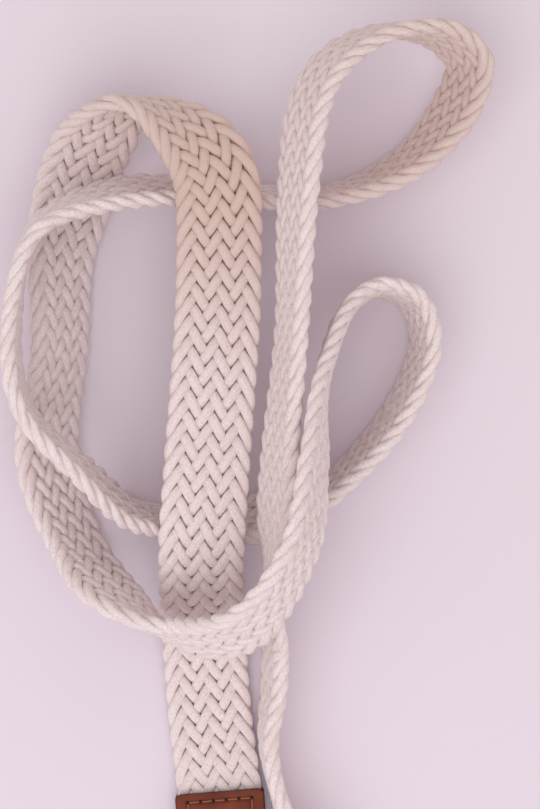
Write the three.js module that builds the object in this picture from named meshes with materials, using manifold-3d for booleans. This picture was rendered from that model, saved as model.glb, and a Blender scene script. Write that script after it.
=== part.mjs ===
// A flat braided cotton belt with leather ends and a pin buckle, thrown down in open loops.
// Millimetres, +Z up. The origin is at the middle of the model's footprint, on the surface it lies on.
import * as THREE from "three";
import * as BufferGeometryUtils from "three/addons/utils/BufferGeometryUtils.js";
import Module from "manifold-3d";

const wasm = await Module();
wasm.setup();

// ---- Driving dimensions ----
const STRAP_WIDTH = 25;
const STRAP_THICKNESS = 4.7;
const STRAP_END_THICKNESS = 2; // the braid is pressed flat where the leather holds it
const STRAP_STEP = 4; // length of one straight stretch of the strap's solid
const END_GRIP = 17; // length of braid inside each leather end
const PRESSED_LENGTH = 14; // from full thickness to the pressed end
const LEATHER = 1.6;
const LEATHER_WIDTH = 26;
const GAP = 0.25;
const TAPE = 0.3;
const TAPE_LENGTH = 6;

const BAR_RADIUS = 2.1;
const FOLD_RADIUS = 2.4; // inside of the leather's fold round the bar
const BAR_HEIGHT = LEATHER + FOLD_RADIUS;
const CHAPE_LENGTH = 52;
const SLOT_WIDTH = 6;
const SLOT_REACH = 13;

const FRAME_HALF_WIDTH = 19;
const WINDOW_HALF_WIDTH = 14.3;
const FRAME_FRONT = 30;
const WINDOW_FRONT = 24;
const FRAME_THICKNESS = 3.2;
const FRAME_CORNER = 6;
const FRAME_REAR = 3.5;
const FRAME_BEVEL = 0.7;
const FRAME_DROOP = THREE.MathUtils.degToRad(4.2); // the frame's front rests on the table
const PRONG_WIDTH = 3.6;
const PRONG_LENGTH = 32;
const PRONG_EYE_RADIUS = 3.8;

const KEEPER_LEATHER = 1.4;
const KEEPER_LENGTH = 10;
const KEEPER_START = 14;
const KEEPER_TOP = 12.4;

const TIP_LENGTH = 74;
const THREAD = 0.8;
const GROOVE = 1.6;
const GROOVE_DEPTH = 0.8;
const THREAD_PROUD = 0.2; // how far the thread stands out of its groove
const UNDER_THREAD = [0.05, 0.6]; // from what height to what height an underside's thread lies
const STITCH_INSET = 3.65; // from the leather's edge to the middle of its stitches
const STITCH_END_INSET = 2.5; // and from the chape's sewn end

// Where the leather ends lie: the middle of the bar and of the tip's first edge, and the turn of +Y there.
const CHAPE_PLACE = { x: -10.6, y: -164.8, turn: THREE.MathUtils.degToRad(4.7) };
const TIP_PLACE = { x: 30.8, y: -167.4, turn: THREE.MathUtils.degToRad(-143.13) };

// The strap's route: x, y, height of its middle, and lean in degrees (0 stands on edge, 90 lies flat).
const ROUTE = [
  [-13.47, -129.92, 3.4, 90],
  [-14.86, -112.97, 3.4, 90],
  [-17.4, -92.5, 2.9, 90],
  [-19, -71.5, 5, 90],
  [-19.5, -42, 28, 88],
  [-18, -18.5, 29.5, 82],
  [-14.5, 38, 30, 80],
  [-16.5, 67.5, 33.5, 75],
  [-29, 81, 32, 33],
  [-40.5, 85.5, 29, 0],
  [-50.5, 76, 17, -54],
  [-56.5, 62.5, 9, -66],
  [-60.5, 45, 10.5, -46],
  [-61, 16, 12, -33],
  [-64.5, -16, 11.5, -41],
  [-55, -42, 13.5, -29],
  [-41, -57.5, 28.5, -14],
  [-22.5, -65.8, 36, 19],
  [-4, -58.8, 52.8, 27],
  [8.5, -39, 56.6, 21],
  [12.5, -15.5, 49, 12],
  [15.5, 9.5, 33, 0],
  [23.5, 28.5, 20, 0],
  [32, 33.5, 15.5, 2],
  [41.3, 30, 13, 10],
  [44.8, 17, 13, 13],
  [35, -5.5, 13, 14],
  [14.5, -26.5, 13, 14],
  [2, -31.5, 12.1, 32],
  [-13, -35.5, 13, 17],
  [-37.5, -32, 14.5, 12],
  [-54.5, -18, 29.5, 7],
  [-70, 0, 36.5, 2],
  [-72.5, 26.5, 35, -1],
  [-66.5, 48.5, 34, -9],
  [-45.5, 59.7, 24.5, -20],
  [-20, 62, 16, -16],
  [14.5, 59.8, 13, -11],
  [39, 69.3, 13.2, -21],
  [54, 86.5, 16.5, -29],
  [57, 98, 20, -22],
  [49.5, 105.5, 24, -9],
  [33.5, 106, 29, 10],
  [19, 98, 33, 22],
  [11.5, 85.5, 36, 25],
  [8, 61.5, 39, 22],
  [6, 21, 39, 15],
  [2.8, -14, 38.2, 19],
  [1.8, -32.5, 36.6, 20],
  [0.8, -43.5, 35, 6],
  [1, -56, 24.8, 3],
  [1.5, -67.5, 16.5, 9],
  [1, -82.5, 13.2, 10],
  [-0.5, -98.5, 13, 5],
  [4, -118, 13, 6],
  [12, -138, 11.1, 42],
  [21, -153.5, 4.6, 80],
  [30.8, -167.4, 3.4, 90],
  [41, -181, 3.4, 90],
];

const colours = {
  cotton: { color: 0xe9dfd3, roughness: 0.95, metalness: 0 },
  leather: { color: 0x7a422a, roughness: 0.5, metalness: 0 },
  thread: { color: 0xb8743c, roughness: 0.8, metalness: 0 },
  tape: { color: 0xd8d0c4, roughness: 0.9, metalness: 0 },
  metal: { color: 0x9c8f78, roughness: 0.35, metalness: 1 },
};

const belt = new THREE.Group();

function addPiece(parent, name, geometry, finish) {
  const mesh = new THREE.Mesh(geometry, new THREE.MeshStandardMaterial(colours[finish]));
  mesh.name = name;
  parent.add(mesh);
  return mesh;
}

// ---- Solids: three.js geometry to manifold and back ----
function toSolid(geometry) {
  const bare = geometry.index ? geometry.toNonIndexed() : geometry.clone();
  bare.deleteAttribute("normal");
  bare.deleteAttribute("uv");
  const merged = BufferGeometryUtils.mergeVertices(bare, 1e-4);
  return new wasm.Manifold(
    new wasm.Mesh({
      numProp: 3,
      vertProperties: new Float32Array(merged.attributes.position.array),
      triVerts: new Uint32Array(merged.index.array),
    }),
  );
}

function toGeometry(solid) {
  const mesh = solid.getMesh();
  const geometry = new THREE.BufferGeometry();
  geometry.setAttribute("position", new THREE.BufferAttribute(new Float32Array(mesh.vertProperties), 3));
  geometry.setIndex(new THREE.BufferAttribute(new Uint32Array(mesh.triVerts), 1));
  return geometry;
}

const join = (first, ...rest) => rest.reduce((sum, next) => sum.add(toSolid(next)), toSolid(first));
const cut = (solid, ...tools) => tools.reduce((left, tool) => left.subtract(toSolid(tool)), solid);

function box(x0, x1, y0, y1, z0, z1) {
  const geometry = new THREE.BoxGeometry(x1 - x0, y1 - y0, z1 - z0);
  return geometry.translate((x0 + x1) / 2, (y0 + y1) / 2, (z0 + z1) / 2);
}

// An outline drawn in Y and Z, made `width` wide along X and centred on it.
function extrudeSideways(shape, width) {
  const geometry = new THREE.ExtrudeGeometry(shape, { depth: width, bevelEnabled: false, curveSegments: 16 });
  geometry.translate(0, 0, -width / 2);
  // The outline's first axis becomes Y, its second Z, and the depth X.
  return geometry.applyMatrix4(new THREE.Matrix4().set(0, 0, 1, 0, 1, 0, 0, 0, 0, 1, 0, 0, 0, 0, 0, 1));
}

// ---- Strap ----
// One coordinate of the curve between the second and third of four points, `gaps` apart in its own time.
function between(values, gaps, part) {
  const [a, b, c, d] = values;
  const [before, here, after] = gaps;
  const start = ((b - a) / before - (c - a) / (before + here) + (c - b) / here) * here;
  const end = ((c - b) / here - (d - b) / (here + after) + (d - c) / after) * here;
  const bend = -3 * b + 3 * c - 2 * start - end;
  return ((2 * b - 2 * c + start + end) * part + bend) * part * part + start * part + b;
}

function routeAt(points, time) {
  const index = Math.min(Math.floor(time), points.length - 4);
  const four = points.slice(index, index + 4);
  const steps = [0, 1, 2].map((i) => [0, 1, 2].map((k) => four[i + 1][k] - four[i][k]));
  const gaps = steps.map((step) => Math.sqrt(Math.hypot(...step)));
  return [0, 1, 2, 3].map((k) => between(four.map((point) => point[k]), gaps, time - index));
}

// Stations a constant length apart along the route, each with its own three directions.
function strapStations(count) {
  const reflect = (end, next) => end.map((value, k) => 2 * value - next[k]);
  const last = ROUTE.length - 1;
  const points = [reflect(ROUTE[0], ROUTE[1]), ...ROUTE, reflect(ROUTE[last], ROUTE[last - 1])];
  const samples = [];
  const perStretch = 60;
  for (let i = 0; i <= last * perStretch; i++) {
    const [x, y, z, lean] = routeAt(points, i / perStretch);
    const place = new THREE.Vector3(x, y, z);
    const previous = samples[i - 1];
    samples.push({ place, lean, length: previous ? previous.length + previous.place.distanceTo(place) : 0 });
  }
  const total = samples[samples.length - 1].length;
  const stations = [];
  for (let i = 0, j = 1; i <= count; i++) {
    const goal = (total * i) / count;
    while (j < samples.length - 1 && samples[j].length < goal) j++;
    const [low, high] = [samples[j - 1], samples[j]];
    const part = (goal - low.length) / (high.length - low.length);
    const along = high.place.clone().sub(low.place).normalize();
    const left = new THREE.Vector3(-along.y, along.x, 0).normalize();
    const lean = THREE.MathUtils.degToRad(THREE.MathUtils.lerp(low.lean, high.lean, part));
    const across = new THREE.Vector3(0, 0, Math.cos(lean)).addScaledVector(left, Math.sin(lean));
    across.addScaledVector(along, -across.dot(along)).normalize();
    stations.push({
      place: low.place.clone().lerp(high.place, part),
      across,
      face: along.clone().cross(across),
      length: goal,
      total,
    });
  }
  return stations;
}

// How thick the strap is, as a share of its full thickness: its two ends are pressed between leather.
function pressed(length, total) {
  const fromEnd = Math.min(length, total - length);
  const part = THREE.MathUtils.smoothstep(fromEnd, END_GRIP, END_GRIP + PRESSED_LENGTH);
  return THREE.MathUtils.lerp(STRAP_END_THICKNESS / STRAP_THICKNESS, 1, part);
}

function strapSection() {
  const [w, t, chamfer] = [STRAP_WIDTH / 2, STRAP_THICKNESS / 2, STRAP_THICKNESS / 4];
  const corners = [
    [w - chamfer, -t],
    [w, chamfer - t],
    [w, t - chamfer],
    [w - chamfer, t],
    [chamfer - w, t],
    [-w, t - chamfer],
    [-w, chamfer - t],
    [chamfer - w, -t],
  ];
  return new THREE.Shape(corners.map(([x, y]) => new THREE.Vector2(x, y)));
}

function braidedStrap() {
  const total = strapStations(1)[0].total;
  const count = Math.round(total / STRAP_STEP);
  const stations = strapStations(count);
  const along = { depth: count, steps: count, bevelEnabled: false };
  const geometry = new THREE.ExtrudeGeometry(strapSection(), along);
  const position = geometry.attributes.position;
  for (let i = 0; i < position.count; i++) {
    const { place, across, face, length } = stations[Math.round(position.getZ(i))];
    const point = place.clone().addScaledVector(across, position.getX(i));
    point.addScaledVector(face, position.getY(i) * pressed(length, total));
    position.setXYZ(i, point.x, point.y, point.z);
  }
  addPiece(belt, "braided_strap", geometry, "cotton");
}

// ---- Leather ends ----
// Heights in a leather end, from the table up.
const STRAP_LEVEL = LEATHER + GAP + TAPE + GAP; // underside of the pressed braid
const UPPER_LEVEL = STRAP_LEVEL + STRAP_END_THICKNESS + GAP + TAPE + GAP; // underside of the upper leather
const CLOSED_LEVEL = LEATHER + GAP; // underside of the upper leather where the layers meet
const KEEPER_LEVEL = CLOSED_LEVEL + KEEPER_LEATHER + GAP; // and where the keeper passes between them

function makeEnd({ x, y, turn }) {
  const end = new THREE.Group();
  end.position.set(x, y, 0);
  end.rotation.z = turn;
  belt.add(end);
  return end;
}

// The side of a layer that runs along a line of [y, height] points, from `low` to `high` above that line.
function layerShape(line, low, high) {
  const outline = [...line.map(([y, z]) => [y, z + low]), ...line.map(([y, z]) => [y, z + high]).reverse()];
  return new THREE.Shape(outline.map(([y, z]) => new THREE.Vector2(y, z)));
}

// A tape folded round the braid's cut end at `cutEnd`, with its fold on the side away from the braid.
function endTape(cutEnd, braidSide) {
  const half = STRAP_WIDTH / 2;
  const [low, high] = [STRAP_LEVEL - GAP - TAPE, STRAP_LEVEL + STRAP_END_THICKNESS + GAP + TAPE];
  const along = [cutEnd - braidSide * (GAP + TAPE), cutEnd + braidSide * TAPE_LENGTH].sort((a, b) => a - b);
  const hollow = [cutEnd - braidSide * GAP, cutEnd + braidSide * 2 * TAPE_LENGTH].sort((a, b) => a - b);
  const outside = toSolid(box(-half, half, ...along, low, high));
  return toGeometry(cut(outside, box(-half - 1, half + 1, ...hollow, low + TAPE, high - TAPE)));
}

// ---- Chape: the leather folded round the buckle's bar. Y runs from the bar towards the strap. ----
const THREAD_START = CHAPE_LENGTH - END_GRIP; // its stitching begins where the layers hold the braid

function chapeSide() {
  const shape = new THREE.Shape();
  const outside = FOLD_RADIUS + LEATHER;
  shape.moveTo(CHAPE_LENGTH, 0);
  shape.lineTo(CHAPE_LENGTH, LEATHER);
  shape.lineTo(0, LEATHER);
  shape.absarc(0, BAR_HEIGHT, FOLD_RADIUS, -Math.PI / 2, -1.5 * Math.PI, true);
  const underside = [
    [2, BAR_HEIGHT + FOLD_RADIUS],
    [KEEPER_START - 2, KEEPER_LEVEL],
    [KEEPER_START + KEEPER_LENGTH + 1, KEEPER_LEVEL],
    [CHAPE_LENGTH - END_GRIP - 2, UPPER_LEVEL],
    [CHAPE_LENGTH, UPPER_LEVEL],
  ];
  underside.forEach(([y, z]) => shape.lineTo(y, z));
  [...underside].reverse().forEach(([y, z]) => shape.lineTo(y, z + LEATHER));
  shape.absarc(0, BAR_HEIGHT, outside, Math.PI / 2, 1.5 * Math.PI, false);
  shape.closePath();
  return shape;
}

// Three straight runs near the leather's edges, open towards the bar, from one height to another.
function stitchRuns(start, side, low, high) {
  const x = LEATHER_WIDTH / 2 - STITCH_INSET;
  const y = CHAPE_LENGTH - STITCH_END_INSET;
  return [
    box(-x - side / 2, side / 2 - x, start, y + side / 2, low, high),
    box(x - side / 2, x + side / 2, start, y + side / 2, low, high),
    box(-x - side / 2, x + side / 2, y - side / 2, y + side / 2, low, high),
  ];
}

function makeChapeLeather(chape) {
  const roundEnd = SLOT_REACH - SLOT_WIDTH / 2;
  const slot = box(-SLOT_WIDTH / 2, SLOT_WIDTH / 2, -10, roundEnd, -1, 12);
  const slotEnd = new THREE.CylinderGeometry(SLOT_WIDTH / 2, SLOT_WIDTH / 2, 13, 20).rotateX(Math.PI / 2);
  slotEnd.translate(0, roundEnd, 5.5);
  const surface = UPPER_LEVEL + LEATHER;
  const grooves = [
    ...stitchRuns(THREAD_START, GROOVE, surface - GROOVE_DEPTH, surface + 1),
    ...stitchRuns(THREAD_START, GROOVE, -1, GROOVE_DEPTH),
  ];
  const side = toSolid(extrudeSideways(chapeSide(), LEATHER_WIDTH));
  addPiece(chape, "chape_leather", toGeometry(cut(side, slot, slotEnd, ...grooves)), "leather");
}

function makeChapeStitching(chape) {
  const proud = UPPER_LEVEL + LEATHER + THREAD_PROUD;
  const upper = join(...stitchRuns(THREAD_START + GAP, THREAD, proud - THREAD, proud));
  const lower = join(...stitchRuns(THREAD_START + GAP, THREAD, ...UNDER_THREAD));
  addPiece(chape, "chape_stitching_upper", toGeometry(upper), "thread");
  addPiece(chape, "chape_stitching_lower", toGeometry(lower), "thread");
}

function roundedRectangle(halfWidth, low, high, radius, holder = new THREE.Shape()) {
  const corners = [
    [halfWidth - radius, high - radius],
    [radius - halfWidth, high - radius],
    [radius - halfWidth, low + radius],
    [halfWidth - radius, low + radius],
  ];
  holder.moveTo(halfWidth, low + radius);
  const quarter = Math.PI / 2;
  corners.forEach(([x, y], i) => holder.absarc(x, y, radius, i * quarter, (i + 1) * quarter, false));
  return holder;
}

// A leather loop: its lower run passes between the chape's layers, its upper one stands clear of them.
function makeKeeper(chape) {
  const inner = LEATHER_WIDTH / 2 + 0.6;
  const [low, radius] = [CLOSED_LEVEL, 2.6];
  const shape = roundedRectangle(inner + KEEPER_LEATHER, low, KEEPER_TOP, radius);
  const inside = [inner, low + KEEPER_LEATHER, KEEPER_TOP - KEEPER_LEATHER, radius - KEEPER_LEATHER];
  shape.holes.push(roundedRectangle(...inside, new THREE.Path()));
  const across = { depth: KEEPER_LENGTH, bevelEnabled: false, curveSegments: 6 };
  const geometry = new THREE.ExtrudeGeometry(shape, across);
  geometry.rotateX(Math.PI / 2).translate(0, KEEPER_START + KEEPER_LENGTH, 0);
  addPiece(chape, "keeper_loop", geometry, "leather");
}

// ---- Buckle: a frame with its bar, and a prong that turns on the bar. Both are drawn about the bar. ----
function makeFrame(axle) {
  const outer = roundedRectangle(FRAME_HALF_WIDTH, -FRAME_FRONT, FRAME_REAR, FRAME_CORNER);
  const plate = new THREE.ExtrudeGeometry(outer, {
    depth: FRAME_THICKNESS - 2 * FRAME_BEVEL,
    bevelSize: FRAME_BEVEL,
    bevelThickness: FRAME_BEVEL,
    bevelOffset: -FRAME_BEVEL,
    bevelSegments: 2,
    curveSegments: 8,
  });
  plate.translate(0, 0, FRAME_BEVEL - FRAME_THICKNESS / 2);
  const hole = roundedRectangle(WINDOW_HALF_WIDTH, -WINDOW_FRONT, 3 * FRAME_REAR, 2.4);
  const window = new THREE.ExtrudeGeometry(hole, { depth: 10, bevelEnabled: false, curveSegments: 6 });
  window.translate(0, 0, -5);
  const barLength = 2 * WINDOW_HALF_WIDTH + 2;
  const bar = new THREE.CylinderGeometry(BAR_RADIUS, BAR_RADIUS, barLength, 28).rotateZ(Math.PI / 2);
  const frame = toGeometry(cut(toSolid(plate), window).add(toSolid(bar)));
  addPiece(axle, "buckle_frame", frame, "metal");
}

// The prong's side: an eye round the bar, and an arm that comes to lie over the frame's front.
function prongSide() {
  const rest = FRAME_THICKNESS / 2 + GAP;
  const [eye, meet] = [PRONG_EYE_RADIUS, THREE.MathUtils.degToRad(25)];
  const shape = new THREE.Shape();
  shape.moveTo(-PRONG_LENGTH, rest - 0.6);
  shape.lineTo(-FRAME_FRONT, rest);
  shape.lineTo(-WINDOW_FRONT, rest);
  shape.lineTo(-9, 0.2);
  shape.lineTo(-eye * Math.cos(meet), -eye * Math.sin(meet));
  shape.absarc(0, 0, eye, Math.PI + meet, 2.5 * Math.PI, false);
  shape.lineTo(-9, 3.2);
  shape.lineTo(-WINDOW_FRONT, rest + 2);
  shape.lineTo(-FRAME_FRONT, rest + 1.8);
  shape.lineTo(-PRONG_LENGTH, rest + 0.7);
  shape.closePath();
  const hole = new THREE.Path();
  hole.absarc(0, 0, BAR_RADIUS + GAP, 0, 2 * Math.PI, true);
  shape.holes.push(hole);
  return shape;
}

function makeBuckle(chape) {
  const axle = new THREE.Group();
  axle.position.z = BAR_HEIGHT;
  axle.rotation.x = FRAME_DROOP;
  chape.add(axle);
  makeFrame(axle);
  addPiece(axle, "buckle_prong", extrudeSideways(prongSide(), PRONG_WIDTH), "metal");
}

// ---- Tip: two leathers sewn round the strap's other end. Y runs from its first edge to its round end. ----
function tipPrism(inset, low, high) {
  const half = LEATHER_WIDTH / 2 - inset;
  const roundStart = TIP_LENGTH - LEATHER_WIDTH / 2;
  const shape = new THREE.Shape();
  shape.moveTo(-half, inset);
  shape.lineTo(half, inset);
  shape.absarc(0, roundStart, half, 0, Math.PI, false);
  shape.closePath();
  const upwards = { depth: high - low, bevelEnabled: false, curveSegments: 20 };
  const geometry = new THREE.ExtrudeGeometry(shape, upwards);
  return geometry.translate(0, 0, low);
}

// A ring `side` wide that follows the tip's edge at the stitching's inset.
function stitchRing(side, low, high) {
  const outside = toSolid(tipPrism(STITCH_INSET - side / 2, low, high));
  return cut(outside, tipPrism(STITCH_INSET + side / 2, low - 1, high + 1));
}

function makeTip(tip) {
  const seam = [
    [-1, UPPER_LEVEL],
    [END_GRIP + 2, UPPER_LEVEL],
    [END_GRIP + 16, CLOSED_LEVEL],
    [TIP_LENGTH + 1, CLOSED_LEVEL],
  ];
  const layer = (low, high) => toSolid(extrudeSideways(layerShape(seam, low, high), LEATHER_WIDTH + 2));
  const groove = layer(LEATHER - GROOVE_DEPTH, LEATHER + 2).intersect(stitchRing(GROOVE, -1, 12));
  const front = layer(0, LEATHER).intersect(toSolid(tipPrism(0, -1, 12))).subtract(groove);
  const back = toSolid(tipPrism(0, 0, LEATHER)).subtract(stitchRing(GROOVE, -1, GROOVE_DEPTH));
  const upperThread = layer(LEATHER + THREAD_PROUD - THREAD, LEATHER + THREAD_PROUD).intersect(
    stitchRing(THREAD, -1, 12),
  );
  addPiece(tip, "tip_front_leather", toGeometry(front), "leather");
  addPiece(tip, "tip_back_leather", toGeometry(back), "leather");
  addPiece(tip, "tip_stitching_front", toGeometry(upperThread), "thread");
  addPiece(tip, "tip_stitching_back", toGeometry(stitchRing(THREAD, ...UNDER_THREAD)), "thread");
  addPiece(tip, "tip_end_tape", endTape(END_GRIP, -1), "tape");
}

// ---- Assembly ----
function makeBelt() {
  braidedStrap();
  const chape = makeEnd(CHAPE_PLACE);
  makeChapeLeather(chape);
  makeChapeStitching(chape);
  addPiece(chape, "chape_end_tape", endTape(THREAD_START, 1), "tape");
  makeKeeper(chape);
  makeBuckle(chape);
  makeTip(makeEnd(TIP_PLACE));
  belt.updateMatrixWorld(true);
  const extent = new THREE.Box3().setFromObject(belt, true);
  const middle = extent.getCenter(new THREE.Vector3());
  belt.position.set(-middle.x, -middle.y, -extent.min.z);
}

makeBelt();

export default belt;
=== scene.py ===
"""Dresses a flat braided cotton belt: its thirteen cords, leather ends, stitches, keeper and pin buckle."""

import sys
import logging
import math
from collections.abc import Sequence
from dataclasses import dataclass, field
from enum import Enum

import bmesh
import bpy
import numpy as np
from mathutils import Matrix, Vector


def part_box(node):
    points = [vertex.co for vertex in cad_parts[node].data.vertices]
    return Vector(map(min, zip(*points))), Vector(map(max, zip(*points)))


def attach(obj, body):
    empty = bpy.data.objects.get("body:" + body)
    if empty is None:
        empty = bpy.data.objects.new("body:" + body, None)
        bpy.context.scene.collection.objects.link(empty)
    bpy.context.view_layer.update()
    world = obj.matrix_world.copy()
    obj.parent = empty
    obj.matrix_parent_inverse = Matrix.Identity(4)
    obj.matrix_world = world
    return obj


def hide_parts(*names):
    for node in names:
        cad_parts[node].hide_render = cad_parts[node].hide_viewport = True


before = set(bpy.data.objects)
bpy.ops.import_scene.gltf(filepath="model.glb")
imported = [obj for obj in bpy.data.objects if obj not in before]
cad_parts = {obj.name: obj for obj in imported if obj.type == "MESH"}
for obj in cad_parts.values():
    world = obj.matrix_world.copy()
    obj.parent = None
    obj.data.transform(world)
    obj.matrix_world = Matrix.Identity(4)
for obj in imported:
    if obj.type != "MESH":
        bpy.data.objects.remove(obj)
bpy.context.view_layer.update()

LOG = logging.getLogger("belt")
MM = 0.001
UPRIGHT = np.array([0, 0, 1.0])
SMALLEST_SPAN = 1e-12  # stands in for a square length of zero
SHARP_ANGLE = math.radians(50)  # faces that meet at more than this keep a sharp edge

Socket = bpy.types.NodeSocket
Triple = tuple[float, float, float]  # a colour or a place

# The strap's route in millimetres: x, y, height of its middle, and lean in degrees (0 on edge, 90 flat).
ROUTE_POINTS = [
    (-13.47, -129.92, 3.4, 90),
    (-14.86, -112.97, 3.4, 90),
    (-17.4, -92.5, 2.9, 90),
    (-19, -71.5, 5, 90),
    (-19.5, -42, 28, 88),
    (-18, -18.5, 29.5, 82),
    (-14.5, 38, 30, 80),
    (-16.5, 67.5, 33.5, 75),
    (-29, 81, 32, 33),
    (-40.5, 85.5, 29, 0),
    (-50.5, 76, 17, -54),
    (-56.5, 62.5, 9, -66),
    (-60.5, 45, 10.5, -46),
    (-61, 16, 12, -33),
    (-64.5, -16, 11.5, -41),
    (-55, -42, 13.5, -29),
    (-41, -57.5, 28.5, -14),
    (-22.5, -65.8, 36, 19),
    (-4, -58.8, 52.8, 27),
    (8.5, -39, 56.6, 21),
    (12.5, -15.5, 49, 12),
    (15.5, 9.5, 33, 0),
    (23.5, 28.5, 20, 0),
    (32, 33.5, 15.5, 2),
    (41.3, 30, 13, 10),
    (44.8, 17, 13, 13),
    (35, -5.5, 13, 14),
    (14.5, -26.5, 13, 14),
    (2, -31.5, 12.1, 32),
    (-13, -35.5, 13, 17),
    (-37.5, -32, 14.5, 12),
    (-54.5, -18, 29.5, 7),
    (-70, 0, 36.5, 2),
    (-72.5, 26.5, 35, -1),
    (-66.5, 48.5, 34, -9),
    (-45.5, 59.7, 24.5, -20),
    (-20, 62, 16, -16),
    (14.5, 59.8, 13, -11),
    (39, 69.3, 13.2, -21),
    (54, 86.5, 16.5, -29),
    (57, 98, 20, -22),
    (49.5, 105.5, 24, -9),
    (33.5, 106, 29, 10),
    (19, 98, 33, 22),
    (11.5, 85.5, 36, 25),
    (8, 61.5, 39, 22),
    (6, 21, 39, 15),
    (2.8, -14, 38.2, 19),
    (1.8, -32.5, 36.6, 20),
    (0.8, -43.5, 35, 6),
    (1, -56, 24.8, 3),
    (1.5, -67.5, 16.5, 9),
    (1, -82.5, 13.2, 10),
    (-0.5, -98.5, 13, 5),
    (4, -118, 13, 6),
    (12, -138, 11.1, 42),
    (21, -153.5, 4.6, 80),
    (30.8, -167.4, 3.4, 90),
    (41, -181, 3.4, 90),
]
CHAPE_PLACE = (-10.6, -164.8, 4.7)  # the middle of the buckle's bar, and the leather's turn in degrees
TIP_PLACE = (30.8, -167.4, -143.13)  # the middle of the tip's first edge, and its turn

LEATHER = 1.6
LEATHER_WIDTH = 26.0
BAR_HEIGHT = 4.0
FOLD_RADIUS = 2.4
CHAPE_LENGTH = 52.0
STITCH_PITCH = 3.74
KEEPER_LEVEL = 3.5  # underside of the upper leather where the keeper passes below it
UPPER_LEVEL = 5.2  # and where it lies on the braid
CLOSED_LEVEL = 1.85  # and where the two leathers meet

ARCH_STEPS = 6  # pieces along a stitch
ARCH_PULL = 1.4  # how far the curve's middle handle stands over the stitch, in arches
THREAD_SIDES = 8
PIT_SEGMENTS = 10
PIT_RINGS = 6
PIT_FLATNESS = 0.4


class Body(Enum):
    """The rigid bodies that the pieces ride on."""

    BELT = "belt"
    FRAME = "frame"
    PRONG = "prong"


class Side(Enum):
    """Which face of a leather end a row of stitches shows on."""

    UPPER = 1
    LOWER = -1


# ---- Meshes ----


def skin(name: str, rings: np.ndarray, closed: bool = False, caps: bool = True) -> bpy.types.Mesh:
    """Joins rings of points into a tube, with a UV map in metres: round the rings, then from ring to ring.

    Args:
        name: Name of the mesh.
        rings: Points in millimetres, n rings of K.
        closed: Whether the last ring joins the first.
        caps: Whether the open ends get a face each.

    Returns:
        A closed mesh in metres, with its faces outwards.
    """
    count, ring = rings.shape[:2]
    steps = np.linalg.norm(np.roll(rings, -1, axis=0) - rings, axis=2).mean(axis=1)
    run = np.concatenate([[0.0], np.cumsum(steps)])
    around = np.linalg.norm(np.roll(rings, -1, axis=1) - rings, axis=2).mean(axis=0)
    around = np.concatenate([[0.0], np.cumsum(around)])
    i, j = np.meshgrid(np.arange(count if closed else count - 1), np.arange(ring), indexing="ij")
    i, j = i.ravel(), j.ravel()
    i_next, j_next = (i + 1) % count, (j + 1) % ring
    quads = [i * ring + j, i * ring + j_next, i_next * ring + j_next, i_next * ring + j]
    faces = np.stack(quads, axis=1).tolist()
    low, high, near, far = around[j], around[j + 1], run[i], run[i + 1]
    sides = [(low, near), (high, near), (high, far), (low, far)]
    corners = np.stack([np.stack(side, axis=1) for side in sides], axis=1).reshape(-1, 2)
    if caps and not closed:
        faces.append(list(range(ring - 1, -1, -1)))
        faces.append(list(range((count - 1) * ring, count * ring)))
        corners = np.concatenate([corners, np.zeros((2 * ring, 2))])
    mesh = bpy.data.meshes.new(name)
    mesh.from_pydata((rings.reshape(-1, 3) * MM).tolist(), [], faces)
    layer = mesh.uv_layers.new(name="Surface")
    layer.data.foreach_set("uv", (corners * MM).astype(np.float32).ravel())
    mesh.polygons.foreach_set("use_smooth", [True] * len(mesh.polygons))
    face_outwards(mesh)
    return mesh


def way_along(line: np.ndarray, closed: bool) -> np.ndarray:
    """Gives the way that a line takes at each point.

    Args:
        line: The line's points.
        closed: Whether the line's end meets its start.

    Returns:
        One direction for each point, of any length.
    """
    if closed:
        return np.roll(line, -1, axis=0) - np.roll(line, 1, axis=0)
    return np.gradient(line, axis=0)


def sweep(centres: np.ndarray, normals: np.ndarray, section: np.ndarray, closed: bool = False) -> np.ndarray:
    """Sets a section at every point of a line.

    Args:
        centres: Line of n points.
        normals: Direction of the section's second axis, at each point or the same for all.
        section: K points, or n times K points, each a place along the first and second axis.
        closed: Whether the line's end meets its start.

    Returns:
        The rings of points, n times K.
    """
    section = np.broadcast_to(section, (len(centres),) + section.shape[-2:])
    along = way_along(centres, closed)
    sideways = np.cross(along, normals)
    sideways /= np.linalg.norm(sideways, axis=1, keepdims=True)
    upright = np.cross(sideways, along)
    upright /= np.linalg.norm(upright, axis=1, keepdims=True)
    return centres[:, None] + section[..., :1] * sideways[:, None] + section[..., 1:] * upright[:, None]


def face_outwards(mesh: bpy.types.Mesh, weld: bool = False) -> None:
    """Turns every face of a closed mesh outwards.

    Args:
        mesh: The mesh.
        weld: Whether points that lie on each other are joined first.
    """
    work = bmesh.new()
    work.from_mesh(mesh)
    if weld:
        bmesh.ops.remove_doubles(work, verts=work.verts, dist=1e-7)
    bmesh.ops.recalc_face_normals(work, faces=work.faces)
    work.to_mesh(mesh)
    work.free()


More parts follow.
